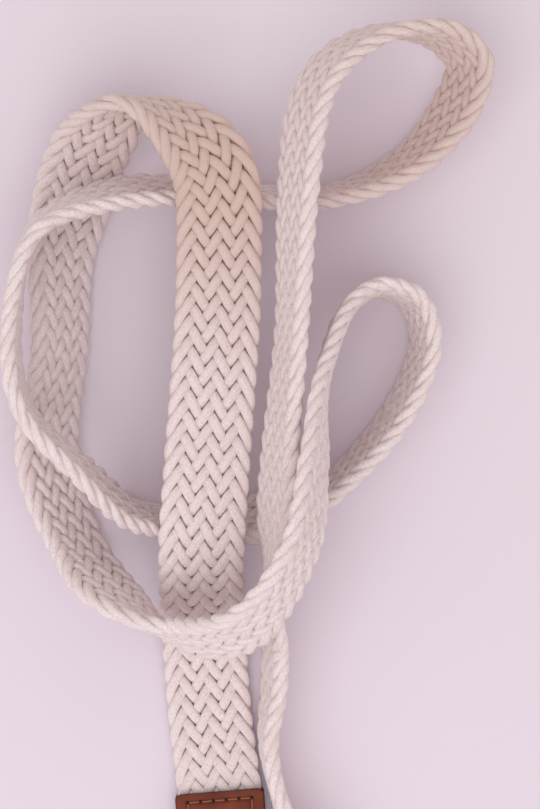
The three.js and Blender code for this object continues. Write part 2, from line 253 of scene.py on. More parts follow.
def rounded_section(width: float, height: float, radius: float, per_corner: int = 4) -> np.ndarray:
    """Draws a rectangle with round corners, centred, as a loop of points.

    Args:
        width: Size along the first axis.
        height: Size along the second axis.
        radius: Corner radius.
        per_corner: Steps in each corner.

    Returns:
        The loop's points.
    """
    points = []
    for quarter, (sx, sy) in enumerate([(1, 1), (-1, 1), (-1, -1), (1, -1)]):
        for step in range(per_corner + 1):
            angle = (quarter + step / per_corner) * math.pi / 2
            x = sx * (width / 2 - radius) + radius * math.cos(angle)
            y = sy * (height / 2 - radius) + radius * math.sin(angle)
            points.append([x, y])
    return np.array(points)


def link(name: str, mesh: bpy.types.Mesh) -> bpy.types.Object:
    """Adds a mesh to the scene as an object at the origin.

    Args:
        name: The object's name.
        mesh: Its mesh.

    Returns:
        The object.
    """
    piece = bpy.data.objects.new(name, mesh)
    bpy.context.scene.collection.objects.link(piece)
    return piece


def mark(mesh: bpy.types.Mesh, name: str, values: np.ndarray) -> None:
    """Stores one number for each vertex under a name that a material can read."""
    attribute = mesh.attributes.new(name, "FLOAT", "POINT")
    attribute.data.foreach_set("value", np.asarray(values, np.float32).ravel())


def plain_copy(piece: bpy.types.Object) -> None:
    """Turns what a piece's modifiers make into its own mesh and removes them.

    Args:
        piece: The object with its modifiers.
    """
    graph = bpy.context.evaluated_depsgraph_get()
    made = bpy.data.meshes.new_from_object(piece.evaluated_get(graph), depsgraph=graph)
    piece.modifiers.clear()
    piece.data = made


@dataclass(frozen=True)
class Place:
    """A flat frame of its own: where its origin lies in the model, and how far its axes are turned."""

    x: float
    y: float
    turn: float

    def put(self, points: np.ndarray) -> np.ndarray:
        """Moves points from this frame into the model's.

        Args:
            points: Points in this frame.

        Returns:
            The same points in the model's frame.
        """
        cos, sin = math.cos(math.radians(self.turn)), math.sin(math.radians(self.turn))
        turned = points @ np.array([[cos, sin, 0], [-sin, cos, 0], [0, 0, 1]])
        return turned + np.array([self.x, self.y, 0])

    @classmethod
    def from_route(cls, place: Triple, route: "Route") -> "Place":
        """Moves a place that is given in the route's frame into the model's."""
        return cls(place[0] + route.shift[0], place[1] + route.shift[1], place[2])


def joined(name: str, meshes: Sequence[bpy.types.Mesh]) -> bpy.types.Mesh:
    """Joins meshes into one and removes them.

    Args:
        name: The new mesh's name.
        meshes: The meshes.

    Returns:
        The new mesh.
    """
    work = bmesh.new()
    for mesh in meshes:
        work.from_mesh(mesh)
        bpy.data.meshes.remove(mesh)
    result = bpy.data.meshes.new(name)
    work.to_mesh(result)
    work.free()
    return result


def run_along(line: np.ndarray) -> np.ndarray:
    """Measures how far each point of a line lies from its first point, along the line."""
    return np.concatenate([[0.0], np.cumsum(np.linalg.norm(np.diff(line, axis=0), axis=1))])


def resampled(line: np.ndarray, at: np.ndarray) -> np.ndarray:
    """Finds the points that lie at some distances along a line."""
    run = run_along(line)
    return np.stack([np.interp(at, run, line[:, k]) for k in range(line.shape[1])], axis=1)


def softened(line: np.ndarray, times: int) -> np.ndarray:
    """Moves each inner point of a line towards its neighbours' middle, several times.

    Args:
        line: The line's points.
        times: How often the points are moved.

    Returns:
        The moved points.
    """
    line = line.copy()
    for _ in range(times):
        line[1:-1] = (line[:-2] + 2 * line[1:-1] + line[2:]) / 4
    return line


def side_line(points: Sequence[tuple[float, float]], step: float, times: int) -> np.ndarray:
    """Resamples a line of (y, z) points at an even step, with its corners softened.

    Args:
        points: The line's corners.
        step: Distance between the new points.
        times: How often the corners are softened.

    Returns:
        Points with x = 0.
    """
    corners = np.array(points, float)
    total = run_along(corners)[-1]
    flat = resampled(corners, np.linspace(0, total, round(total / step) + 1))
    return softened(np.column_stack([np.zeros(len(flat)), flat]), times)


def outward(line: np.ndarray, axis: Sequence[float], closed: bool = False) -> np.ndarray:
    """Gives each point of a flat line its outer side.

    Args:
        line: The line's points.
        axis: Direction square to the line's plane. The outer side is this crossed with the line's way.
        closed: Whether the line's end meets its start.

    Returns:
        The directions.
    """
    directions = np.cross(np.array(axis, float), way_along(line, closed))
    return directions / np.linalg.norm(directions, axis=1, keepdims=True)


def arc(
    centre: Sequence[float], radius: float, start: float, end: float, steps: int
) -> list[tuple[float, float]]:
    """Draws an arc between two angles in degrees.

    Args:
        centre: The arc's centre.
        radius: Its radius.
        start: Its first angle.
        end: Its last angle.
        steps: How many pieces it has.

    Returns:
        The arc's points.
    """
    x, y = centre
    angles = np.radians(np.linspace(start, end, steps + 1))
    return [(x + radius * math.cos(angle), y + radius * math.sin(angle)) for angle in angles]


def subdivided(loop: np.ndarray, step: float) -> np.ndarray:
    """Adds points to a loop's long sides, so that none is longer than a step.

    Args:
        loop: The loop's points.
        step: The longest that a side may be.

    Returns:
        The loop with its new points.
    """
    points = []
    for here, after in zip(loop, np.roll(loop, -1, axis=0)):
        pieces = max(1, math.ceil(float(np.linalg.norm(after - here)) / step))
        points += [here + (after - here) * part / pieces for part in range(pieces)]
    return np.array(points)


def distance_to_spans(points: np.ndarray, spans: Sequence[tuple[np.ndarray, np.ndarray]]) -> np.ndarray:
    """Measures how far points lie from the nearest of some straight spans, seen from above.

    Args:
        points: Any number of points, at least (x, y) each.
        spans: Start and end of each span. They may be one point.

    Returns:
        One distance for each point.
    """
    flat = points[..., :2].reshape(-1, 2)
    least = np.full(len(flat), np.inf)
    for start, end in spans:
        way = end - start
        part = np.clip((flat - start) @ way / max(way @ way, SMALLEST_SPAN), 0, 1)[:, None]
        least = np.minimum(least, np.linalg.norm(flat - start - part * way, axis=1))
    return least.reshape(points.shape[:-1])


# ---- Node trees ----


class Tree:
    """A node tree, and the ways to add to it."""

    def __init__(self, tree: bpy.types.NodeTree) -> None:
        """Takes the tree."""
        self.tree = tree

    def feed(self, socket: Socket, value: object) -> None:
        """Links a socket to its source, or sets its value.

        Args:
            socket: The input.
            value: Its source, or its value.
        """
        if isinstance(value, Socket):
            self.tree.links.new(value, socket)
        else:
            socket.default_value = value

    def add(self, kind: str, inputs: dict | None = None, **settings: object) -> bpy.types.Node:
        """Adds a node with its settings, and its inputs as values or links.

        Args:
            kind: The node's type.
            inputs: Value or source socket for each input, by name or number.
            settings: Values for the node's own properties.

        Returns:
            The node.
        """
        node = self.tree.nodes.new(kind)
        for name, value in settings.items():
            setattr(node, name, value)
        for name, value in (inputs or {}).items():
            self.feed(node.inputs[name], value)
        return node


class GeometryTree(Tree):
    """A Geometry Nodes tree with named inputs."""

    def __init__(self, name: str, inputs: Sequence[tuple[str, str]]) -> None:
        """Makes the tree with its inputs and its one output.

        Args:
            name: The tree's name.
            inputs: Name and socket type of each input after the geometry.
        """
        super().__init__(bpy.data.node_groups.new(name, "GeometryNodeTree"))
        face = self.tree.interface
        face.new_socket("Geometry", in_out="INPUT", socket_type="NodeSocketGeometry")
        self.identifiers = {}
        for label, kind in inputs:
            socket = face.new_socket(label, in_out="INPUT", socket_type=kind)
            self.identifiers[label] = socket.identifier
        face.new_socket("Geometry", in_out="OUTPUT", socket_type="NodeSocketGeometry")
        self.input = self.tree.nodes.new("NodeGroupInput")
        self.output = self.tree.nodes.new("NodeGroupOutput")

    def scaled(self, value: Socket, factor: float) -> Socket:
        """Multiplies a number."""
        return self.add("ShaderNodeMath", {0: value, 1: factor}, operation="MULTIPLY").outputs[0]

    def finish(self, instances: Socket, material: Socket) -> None:
        """Makes the instances real, smooth and finished, as the tree's output.

        Args:
            instances: The placed instances.
            material: Their material.
        """
        real = self.add("GeometryNodeRealizeInstances", {"Geometry": instances})
        smooth = self.add("GeometryNodeSetShadeSmooth", {"Geometry": real.outputs[0]})
        painted = self.add("GeometryNodeSetMaterial", {"Geometry": smooth.outputs[0], "Material": material})
        self.feed(self.output.inputs[0], painted.outputs[0])

    def run(self, piece: bpy.types.Object, values: dict[str, object]) -> None:
        """Applies the tree to a piece.

        Args:
            piece: The object.
            values: Value of each named input.
        """
        modifier = piece.modifiers.new(self.tree.name, "NODES")
        modifier.node_group = self.tree
        for label, value in values.items():
            modifier[self.identifiers[label]] = value
        plain_copy(piece)


# ---- Sewing ----


def stitch_tree() -> GeometryTree:
    """Makes the tree that lays one arched stitch along each edge of a row.

    Returns:
        The tree.
    """
    made = GeometryTree(
        "Stitches",
        [
            ("Stitch length", "NodeSocketFloat"),
            ("Thread radius", "NodeSocketFloat"),
            ("Arch", "NodeSocketFloat"),
            ("Up", "NodeSocketVector"),
            ("Looseness", "NodeSocketFloat"),
            ("Seed", "NodeSocketInt"),
            ("Thread", "NodeSocketMaterial"),
        ],
    )
    given = made.input.outputs
    ends = made.add("GeometryNodeInputMeshEdgeVertices")
    way = made.add("ShaderNodeVectorMath", {0: ends.outputs[3], 1: ends.outputs[2]}, operation="SUBTRACT")
    capture = made.add("GeometryNodeCaptureAttribute", {"Geometry": given["Geometry"]}, domain="EDGE")
    capture.capture_items.new("VECTOR", "Way")
    made.feed(capture.inputs["Way"], way.outputs[0])
    points = made.add("GeometryNodeMeshToPoints", {"Mesh": capture.outputs["Geometry"]}, mode="EDGES")
    lying = made.add("FunctionNodeAlignRotationToVector", {"Vector": capture.outputs["Way"]}, axis="X")
    upright = made.add(
        "FunctionNodeAlignRotationToVector",
        {"Rotation": lying.outputs[0], "Vector": given["Up"]},
        axis="Z",
        pivot_axis="X",
    )
    spread = made.add(
        "FunctionNodeRandomValue",
        {0: (-1.0, -1.0, -1.0), 1: (1.0, 1.0, 1.0), "Seed": given["Seed"]},
        data_type="FLOAT_VECTOR",
    )
    loose = made.add(
        "ShaderNodeVectorMath",
        {0: spread.outputs[0], "Scale": given["Looseness"]},
        operation="SCALE",
    )
    turned = made.add(
        "FunctionNodeRotateRotation",
        {"Rotation": upright.outputs[0], "Rotate By": loose.outputs[0]},
        rotation_space="LOCAL",
    )
    half = made.scaled(given["Stitch length"], 0.5)
    sunk = made.scaled(given["Arch"], -1.0)
    start = made.add("ShaderNodeCombineXYZ", {"X": made.scaled(half, -1.0), "Z": sunk})
    middle = made.add("ShaderNodeCombineXYZ", {"Z": made.scaled(given["Arch"], ARCH_PULL)})
    end = made.add("ShaderNodeCombineXYZ", {"X": half, "Z": sunk})
    arch = made.add(
        "GeometryNodeCurveQuadraticBezier",
        {
            "Resolution": ARCH_STEPS,
            "Start": start.outputs[0],
            "Middle": middle.outputs[0],
            "End": end.outputs[0],
        },
    )
    round_thread = made.add(
        "GeometryNodeCurvePrimitiveCircle",
        {"Resolution": THREAD_SIDES, "Radius": given["Thread radius"]},
    )
    stitch = made.add(
        "GeometryNodeCurveToMesh",
        {"Curve": arch.outputs[0], "Profile Curve": round_thread.outputs[0], "Fill Caps": True},
    )
    placed = made.add(
        "GeometryNodeInstanceOnPoints",
        {"Points": points.outputs[0], "Instance": stitch.outputs[0], "Rotation": turned.outputs[0]},
    )
    made.finish(placed.outputs[0], given["Thread"])
    return made


def hole_tree() -> GeometryTree:
    """Makes the tree that sets one flat dark pit at each point of a row: painted shade for a needle hole.

    Returns:
        The tree.
    """
    made = GeometryTree("Needle holes", [("Radius", "NodeSocketFloat"), ("Inside", "NodeSocketMaterial")])
    given = made.input.outputs
    points = made.add("GeometryNodeMeshToPoints", {"Mesh": given["Geometry"]}, mode="VERTICES")
    pit = made.add(
        "GeometryNodeMeshUVSphere",
        {"Segments": PIT_SEGMENTS, "Rings": PIT_RINGS, "Radius": given["Radius"]},
    )
    flat = made.add("GeometryNodeTransform", {"Geometry": pit.outputs[0], "Scale": (1.0, 1.0, PIT_FLATNESS)})
    placed = made.add(
        "GeometryNodeInstanceOnPoints",
        {"Points": points.outputs[0], "Instance": flat.outputs[0]},
    )
    made.finish(placed.outputs[0], given["Inside"])
    return made


@dataclass
class Seam:
    """Rows of saddle stitches with their needle holes."""

    finishes: "Finishes"
    stitch_length: float = 2.8
    thread_radius: float = 0.26
    arch: float = 0.2
    hole_radius: float = 0.52
    looseness: float = 0.035

    def __post_init__(self) -> None:
        """Makes both trees."""
        self.stitches = stitch_tree()
        self.holes = hole_tree()

    def sew(self, name: str, rows: Sequence[np.ndarray], side: Side, seed: int, stands_for: str) -> None:
        """Sews rows whose points are the needle holes, on one side of a leather end.

        Args:
            name: Name of the thread's piece.
            rows: Lines of points in the model's millimetres.
            side: The side that the thread shows on.
            seed: Seed for the stitches' small differences.
            stands_for: The node that the thread is shown instead of.
        """
        thread = link(name, self._rows(name, rows))
        values = {
            "Stitch length": self.stitch_length * MM,
            "Thread radius": self.thread_radius * MM,
            "Arch": self.arch * MM,
            "Up": (0.0, 0.0, float(side.value)),
            "Looseness": self.looseness,
            "Seed": seed,
            "Thread": self.finishes.thread,
        }
        self.stitches.run(thread, values)
        dress(thread, self.finishes.thread, Body.BELT, [stands_for])
        # Flat near-black pits at the needle holes: painted shade.
        holes = link(f"{name}_holes", self._rows(f"{name}_holes", rows))
        self.holes.run(holes, {"Radius": self.hole_radius * MM, "Inside": self.finishes.hole})
        dress(holes, self.finishes.hole, Body.BELT)

    @staticmethod
    def _rows(name: str, rows: Sequence[np.ndarray]) -> bpy.types.Mesh:
        """Makes a mesh of bare lines.

        Args:
            name: The mesh's name.
            rows: Lines of points in millimetres.

        Returns:
            The mesh.
        """
        points, edges = [], []
        for row in rows:
            edges += [(len(points) + i, len(points) + i + 1) for i in range(len(row) - 1)]
            points += (row * MM).tolist()
        mesh = bpy.data.meshes.new(name)
        mesh.from_pydata(points, edges, [])
        return mesh


# ---- Route ----


@dataclass
class Route:
    """The strap's middle line, with the way it leans, in the model's millimetres."""

    points: Sequence[Sequence[float]]
    width: float = 25.0
    thickness: float = 4.7
    pressed_thickness: float = 2.0
    grip: float = 17.0
    pressed_length: float = 14.0
    per_stretch: int = 60
    ring_spacing: float = 4.0  # along the solid strap, whose box the shift is found from

    def __post_init__(self) -> None:
        """Samples the line and finds how far the model's frame lies from the route's."""
        dense = self._spline(np.array(self.points, float))
        self.place = dense[:, :3]
        self.lean = np.radians(dense[:, 3])
        self.length = run_along(self.place)
        tangent = np.gradient(self.place, axis=0)
        self.tangent = tangent / np.linalg.norm(tangent, axis=1, keepdims=True)
        rings = round(self.total / self.ring_spacing) + 1
        place, across, face = self.frames(np.linspace(0, self.total, rings))
        w, t = self.width / 2, self.thickness / 2
        chamfer = t / 2
        corners = [(w - chamfer, t), (w, t - chamfer)]
        signs = [(1, 1), (1, -1), (-1, 1), (-1, -1)]
        section = [(sx * a, sy * b) for a, b in corners for sx, sy in signs]
        reach = np.concatenate([place + across * a + face * b for a, b in section])
        self.shift = np.array(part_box("braided_strap")[0]) / MM - reach.min(axis=0)
        self.place = self.place + self.shift

    @property
    def total(self) -> float:
        """The strap's whole length."""
        return float(self.length[-1])

    def _spline(self, points: np.ndarray) -> np.ndarray:
        """Draws a smooth curve through the points, timed by the root of their distances.

        Args:
            points: The route's points, with their leans.

        Returns:
            The curve's points, with their leans.
        """
        ends = np.vstack([2 * points[0] - points[1], points, 2 * points[-1] - points[-2]])
        gaps = np.linalg.norm(np.diff(ends[:, :3], axis=0), axis=1) ** 0.5
        time = np.linspace(0, len(points) - 1, self.per_stretch * (len(points) - 1) + 1)
        index = np.clip(np.floor(time).astype(int), 0, len(points) - 2)
        part = (time - index)[:, None]
        a, b, c, d = (ends[index + k] for k in range(4))
        before, here, after = (gaps[index + k][:, None] for k in range(3))
        start = ((b - a) / before - (c - a) / (before + here) + (c - b) / here) * here
        end = ((c - b) / here - (d - b) / (here + after) + (d - c) / after) * here
        bend = -3 * b + 3 * c - 2 * start - end
        return ((2 * b - 2 * c + start + end) * part + bend) * part**2 + start * part + b

    def frames(self, lengths: np.ndarray) -> tuple[np.ndarray, np.ndarray, np.ndarray]:
        """Finds the strap's middle and its two directions at some lengths from its first end.

        Args:
            lengths: Distances along the strap.

        Returns:
            The places, the directions across the strap, and the directions out of its face.
        """
        place, tangent = (
            np.stack([np.interp(lengths, self.length, values[:, k]) for k in range(3)], axis=1)
            for values in (self.place, self.tangent)
        )
        lean = np.interp(lengths, self.length, self.lean)[:, None]
        tangent /= np.linalg.norm(tangent, axis=1, keepdims=True)
        left = np.stack([-tangent[:, 1], tangent[:, 0], np.zeros(len(tangent))], axis=1)
        left /= np.linalg.norm(left, axis=1, keepdims=True)
        across = np.cos(lean) * np.array([0, 0, 1.0]) + np.sin(lean) * left
        across -= np.sum(across * tangent, axis=1, keepdims=True) * tangent
        across /= np.linalg.norm(across, axis=1, keepdims=True)
        return place, across, np.cross(tangent, across)

    def pressed(self, lengths: np.ndarray) -> np.ndarray:
        """Gives the strap's thickness as a share of the full one: its ends are pressed between leather.

        Args:
            lengths: Distances along the strap.

        Returns:
            One share for each distance.
        """
        from_end = np.minimum(lengths, self.total - lengths)
        part = np.clip((from_end - self.grip) / self.pressed_length, 0, 1)
        smooth = part * part * (3 - 2 * part)
        least = self.pressed_thickness / self.thickness
        return least + (1 - least) * smooth


# ---- Finishes ----


class Nodes(Tree):
    """A material's nodes."""

    def __init__(self, material: bpy.types.Material) -> None:
        """Clears the material's tree and gives it a surface shader.

        Args:
            material: The material.
        """
        material.use_nodes = True
        super().__init__(material.node_tree)
        self.tree.nodes.clear()
        self.shader = self.tree.nodes.new("ShaderNodeBsdfPrincipled")
        self.add("ShaderNodeOutputMaterial", {"Surface": self.shader.outputs["BSDF"]})

    def coordinates(self, source: str = "Object", scale: Sequence[float] = (1, 1, 1)) -> Socket:
        """Gives the piece's own coordinates, stretched.

        Args:
            source: Name of the Texture Coordinate output.
            scale: Stretch along each axis.

        Returns:
            The stretched coordinates.
        """
        texture = self.add("ShaderNodeTexCoord")
        mapping = self.add("ShaderNodeMapping", {"Vector": texture.outputs[source], "Scale": tuple(scale)})
        return mapping.outputs["Vector"]

    def noise(self, vector: Socket, scale: float, detail: float = 3.0) -> Socket:
        """Gives a cloudy pattern from 0 to 1."""
        inputs = {"Vector": vector, "Scale": scale, "Detail": detail}
        return self.add("ShaderNodeTexNoise", inputs).outputs["Fac"]

    def ramp(self, factor: Socket, stops: Sequence[tuple[float, Sequence[float]]]) -> Socket:
        """Turns a number into a colour through a row of stops.

        Args:
            factor: The number.
            stops: Place and colour of each stop, in order.

        Returns:
            The colour.
        """
        node = self.add("ShaderNodeValToRGB", {"Fac": factor})
        elements = node.color_ramp.elements
        while len(elements) < len(stops):
            elements.new(1.0)
        for element, (place, colour) in zip(elements, stops):
            element.position = place
            element.color = (*colour, 1.0)
        return node.outputs["Color"]

    def range(self, value: Socket, low: float, high: float) -> Socket:
        """Spreads a number from 0 to 1 between two others."""
        inputs = {"Value": value, "To Min": low, "To Max": high}
        return self.add("ShaderNodeMapRange", inputs).outputs["Result"]

    def mix(self, factor: Socket, first: Socket | Triple, second: Socket | Triple) -> Socket:
        """Mixes two colours by a number.

        Args:
            factor: The second colour's share.
            first: One colour.
            second: The other colour.

        Returns:
            The mixed colour.
        """
        node = self.add("ShaderNodeMix", {0: factor}, data_type="RGBA")
        for number, colour in ((6, first), (7, second)):
            self.feed(node.inputs[number], colour if isinstance(colour, Socket) else (*colour, 1.0))
        return node.outputs[2]

    def bump(
        self,
        height: Socket,
        depth: float,
        strength: float = 1.0,
        under: Socket | None = None,
    ) -> Socket:
        """Raises the surface by a pattern, on top of another bump if there is one.

        Args:
            height: The pattern.
            depth: How high it stands, in millimetres.
            strength: How strongly it shows.
            under: The other bump's normal.

        Returns:
            The new normal.
        """
        inputs = {"Height": height, "Distance": depth * MM, "Strength": strength}
        if under is not None:
            inputs["Normal"] = under
        return self.add("ShaderNodeBump", inputs).outputs["Normal"]

    def surface(self, **inputs: object) -> None:
        """Sets the shader's inputs: underscores in a name stand for spaces."""
        for name, value in inputs.items():
            self.feed(self.shader.inputs[name.replace("_", " ")], value)


@dataclass(frozen=True)
class Finish:
    """What every finish has: a name, and a way to lay out its material's nodes."""

    name: str

    def paint(self, nodes: Nodes) -> None:
        """Lays out the nodes. Every finish has its own way."""
        raise NotImplementedError

    def build(self) -> bpy.types.Material:
        """Makes the material.

        Returns:
            The material.
        """
        material = bpy.data.materials.new(self.name)
        self.paint(Nodes(material))
        return material


@dataclass(frozen=True)
class CottonCord(Finish):
    """Ecru cotton: yarns and fibres along the cord, a faint lay across them, slubs, and painted shade on the
    stretches where the strap bends over.
    """

    name: str = "Ecru cotton cord"
    light: Triple = (0.91, 0.8, 0.795)
    deep: Triple = (0.78, 0.63, 0.6)
    shade: Triple = (0.6, 0.46, 0.44)
    # Darker, warmer colour painted as shade where the strap bends over.
    painted_shade_colour: Triple = (0.7, 0.53, 0.46)
    fibre: float = 0.2
    yarn: float = 0.5
    fleck: float = 0.4
    lay: float = 1.3

    def paint(self, nodes: Nodes) -> None:
        """Lays out the nodes.

        Args:
            nodes: The material's nodes.
        """
        fibres = self._streaks(nodes, width=self.fibre, per_metre=1100, detail=3.0)
        flecks = self._streaks(nodes, width=self.fleck, per_metre=1300, detail=2.0)
        yarns = self._streaks(nodes, width=self.yarn, per_metre=160, detail=2.0)
        slubs = nodes.noise(nodes.coordinates("UV", scale=(260, 120, 1)), scale=1.0, detail=3.0)
        cloud = nodes.noise(nodes.coordinates(), scale=38.0, detail=2.0)
        lay = nodes.add(
            "ShaderNodeTexWave",
            {
                "Vector": nodes.coordinates("UV", scale=(260, 420, 1)),
                "Scale": 1.0 / self.lay,
                "Distortion": 1.4,
                "Detail": 2.0,
                "Detail Scale": 2.0,
            },
            bands_direction="DIAGONAL",
        ).outputs["Fac"]
        slub_colour = nodes.ramp(slubs, [(0.3, self.deep), (0.52, self.light)])
        yarn_colour = nodes.ramp(yarns, [(0.34, self.deep), (0.5, self.light)])
        both = nodes.mix(nodes.range(slubs, low=0.2, high=0.8), slub_colour, yarn_colour)
        # The marked share mixes the cotton towards the darker, warmer colour: painted shade where the strap
        # bends over.
        painted_shade_share = nodes.add("ShaderNodeAttribute", attribute_name="painted_shade_share").outputs["Fac"]
        even = nodes.mix(painted_shade_share, nodes.mix(nodes.range(cloud, low=0.0, high=0.5), both, self.light), self.painted_shade_colour)
        darkness = nodes.ramp(flecks, [(0.36, (0.38, 0.38, 0.38)), (0.52, (0, 0, 0))])
        low = nodes.bump(lay, depth=0.05, strength=0.5)
        middle = nodes.bump(yarns, depth=0.2, strength=0.8, under=low)
        nodes.surface(
            Base_Color=nodes.mix(darkness, even, self.shade),
            Normal=nodes.bump(fibres, depth=0.16, strength=0.9, under=middle),
            Roughness=nodes.range(fibres, low=0.8, high=0.98),
            Sheen_Weight=0.2,
            Sheen_Roughness=0.6,
            Sheen_Tint=(1.0, 0.93, 0.92, 1.0),
            Specular_IOR_Level=0.12,
            Subsurface_Weight=0.22,
            Subsurface_Radius=(0.0024, 0.0018, 0.0016),
        )

    @staticmethod
    def _streaks(nodes: Nodes, width: float, per_metre: float, detail: float) -> Socket:
        """Gives a pattern of streaks along the cord, of a width in millimetres."""
        place = nodes.coordinates("UV", scale=(1 / (width * MM), per_metre, 1))
        return nodes.noise(place, scale=1.0, detail=detail)


@dataclass(frozen=True)
class BrownLeather(Finish):
    """Smooth waxed leather: fine pebble, soft creases, clouded brown, burnished darker cut edges, and painted
    shade in the stitch grooves.
    """

    name: str = "Brown leather"
    light: Triple = (0.23, 0.041, 0.01)
    deep: Triple = (0.12, 0.016, 0.005)
    # Colour of the burnished edges, also used as painted shade in the stitch grooves.
    edge: Triple = (0.06, 0.014, 0.007)

    def paint(self, nodes: Nodes) -> None:
        """Lays out the nodes.

        Args:
            nodes: The material's nodes.
        """
        place = nodes.coordinates()
        cloud = nodes.noise(place, scale=90.0, detail=4.0)
        pores = nodes.add("ShaderNodeTexVoronoi", {"Vector": place, "Scale": 2600.0}).outputs["Distance"]
        creases = nodes.noise(nodes.coordinates("Object", scale=(1, 0.5, 1)), scale=700.0, detail=5.0)
        clouded = nodes.ramp(cloud, [(0.32, self.deep), (0.68, self.light)])
        # The edge mark holds the burnished edges and the painted shade of the stitch grooves.
        edge = nodes.add("ShaderNodeAttribute", attribute_name="edge").outputs["Fac"]
        grain = nodes.bump(pores, depth=0.05, strength=0.45)
        nodes.surface(
            Base_Color=nodes.mix(edge, clouded, self.edge),
            Normal=nodes.bump(creases, depth=0.09, strength=0.35, under=grain),
            Roughness=nodes.range(creases, low=0.38, high=0.6),
            Specular_IOR_Level=0.24,
        )


@dataclass(frozen=True)
class SewingThread(Finish):
    """Waxed thread with its plies twisted round it."""

    name: str = "Waxed thread"
    light: Triple = (0.4, 0.15, 0.055)
    deep: Triple = (0.2, 0.065, 0.024)
    ply: float = 0.35

    def paint(self, nodes: Nodes) -> None:
        """Lays out the nodes.

        Args:
            nodes: The material's nodes.
        """
        place = nodes.coordinates()
        plies = nodes.add(
            "ShaderNodeTexWave",
            {"Vector": place, "Scale": 0.5 / (self.ply * MM), "Distortion": 0.6},
            bands_direction="DIAGONAL",
        ).outputs["Fac"]
        nodes.surface(
            Base_Color=nodes.ramp(plies, [(0.1, self.deep), (0.7, self.light)]),
            Normal=nodes.bump(plies, depth=0.08, strength=0.6),
            Roughness=nodes.range(nodes.noise(place, scale=900.0), low=0.5, high=0.75),
        )


@dataclass(frozen=True)
class NeedleHole(Finish):
    """The near-black inside of a needle hole: painted shade, as no hole is cut through the leather."""

    name: str = "Needle hole"

    def paint(self, nodes: Nodes) -> None:
        """Lays out the nodes.

        Args:
            nodes: The material's nodes.
        """
        cloud = nodes.noise(nodes.coordinates(), scale=1500.0)
        # Near-black painted shade for the inside of a needle hole.
        nodes.surface(
            Base_Color=nodes.ramp(cloud, [(0.3, (0.008, 0.004, 0.003)), (0.7, (0.03, 0.012, 0.008))]),
            Roughness=0.9,
        )


@dataclass(frozen=True)
class CottonTape(Finish):
    """Plain woven tape: warp and weft a third of a millimetre apart."""

    name: str = "Woven tape"
    light: Triple = (0.78, 0.72, 0.64)
    deep: Triple = (0.5, 0.44, 0.38)
    yarn: float = 0.35

    def paint(self, nodes: Nodes) -> None:
        """Lays out the nodes.

        Args:
            nodes: The material's nodes.
        """
        place = nodes.coordinates()
        waves = [
            nodes.add(
                "ShaderNodeTexWave",
                {"Vector": place, "Scale": 0.5 / (self.yarn * MM), "Distortion": 0.3},
                bands_direction=direction,
            ).outputs["Fac"]
            for direction in ("X", "Y")
        ]
        weave = nodes.add("ShaderNodeMath", {0: waves[0], 1: waves[1]}, operation="MULTIPLY").outputs[0]
        nodes.surface(
            Base_Color=nodes.ramp(weave, [(0.05, self.deep), (0.5, self.light)]),
            Normal=nodes.bump(weave, depth=0.12, strength=0.7),
            Roughness=0.9,
        )


@dataclass(frozen=True)
class OldBrass(Finish):
    """Dulled brass: brushed along one way, browner and rougher in patches."""

    name: str = "Old brass"
    light: Triple = (0.62, 0.48, 0.29)
    deep: Triple = (0.3, 0.22, 0.13)

    def paint(self, nodes: Nodes) -> None:
        """Lays out the nodes.

        Args:
            nodes: The material's nodes.
        """
        brushed = nodes.noise(nodes.coordinates("Object", scale=(4000, 300, 4000)), scale=1.0, detail=3.0)
        patches = nodes.noise(nodes.coordinates(), scale=160.0, detail=4.0)
        nodes.surface(
            Base_Color=nodes.ramp(patches, [(0.35, self.deep), (0.62, self.light)]),
            Metallic=1.0,
            Roughness=nodes.range(patches, low=0.5, high=0.26),
            Normal=nodes.bump(brushed, depth=0.02, strength=0.4),
        )


@dataclass(frozen=True)
class PaleTable(Finish):
    """A matt pale table top with the faintest unevenness."""

    name: str = "Pale table"
    colour: Triple = (0.79, 0.7, 0.775)

    def paint(self, nodes: Nodes) -> None:
        """Lays out the nodes.

        Args:
            nodes: The material's nodes.
        """
        cloud = nodes.noise(nodes.coordinates(), scale=3.0, detail=2.0)
        paler = tuple(min(1.0, 1.03 * value) for value in self.colour)
        nodes.surface(Base_Color=nodes.ramp(cloud, [(0.3, self.colour), (0.7, paler)]), Roughness=0.75)


@dataclass
class Finishes:
    """Every finish of the belt, made once."""

    cotton: bpy.types.Material = field(default_factory=lambda: CottonCord().build())
    leather: bpy.types.Material = field(default_factory=lambda: BrownLeather().build())
    thread: bpy.types.Material = field(default_factory=lambda: SewingThread().build())
    hole: bpy.types.Material = field(default_factory=lambda: NeedleHole().build())
    tape: bpy.types.Material = field(default_factory=lambda: CottonTape().build())
    brass: bpy.types.Material = field(default_factory=lambda: OldBrass().build())
    table: bpy.types.Material = field(default_factory=lambda: PaleTable().build())


def dress(
    piece: bpy.types.Object,
    material: bpy.types.Material,
    body: Body,
    stands_for: Sequence[str] = (),
) -> None:
    """Gives a piece its finish and lets it ride on its body.

    Args:
        piece: The finished object.
        material: Its finish.
        body: The body it moves with.
        stands_for: Nodes that it is shown instead of.
    """
    if not piece.data.materials:
        piece.data.materials.append(material)
    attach(piece, body.value)
    if stands_for:
        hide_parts(*stands_for)
    LOG.info("%s: %d faces, rides on %s", piece.name, len(piece.data.polygons), body.value)


# ---- Camera, light and table ----


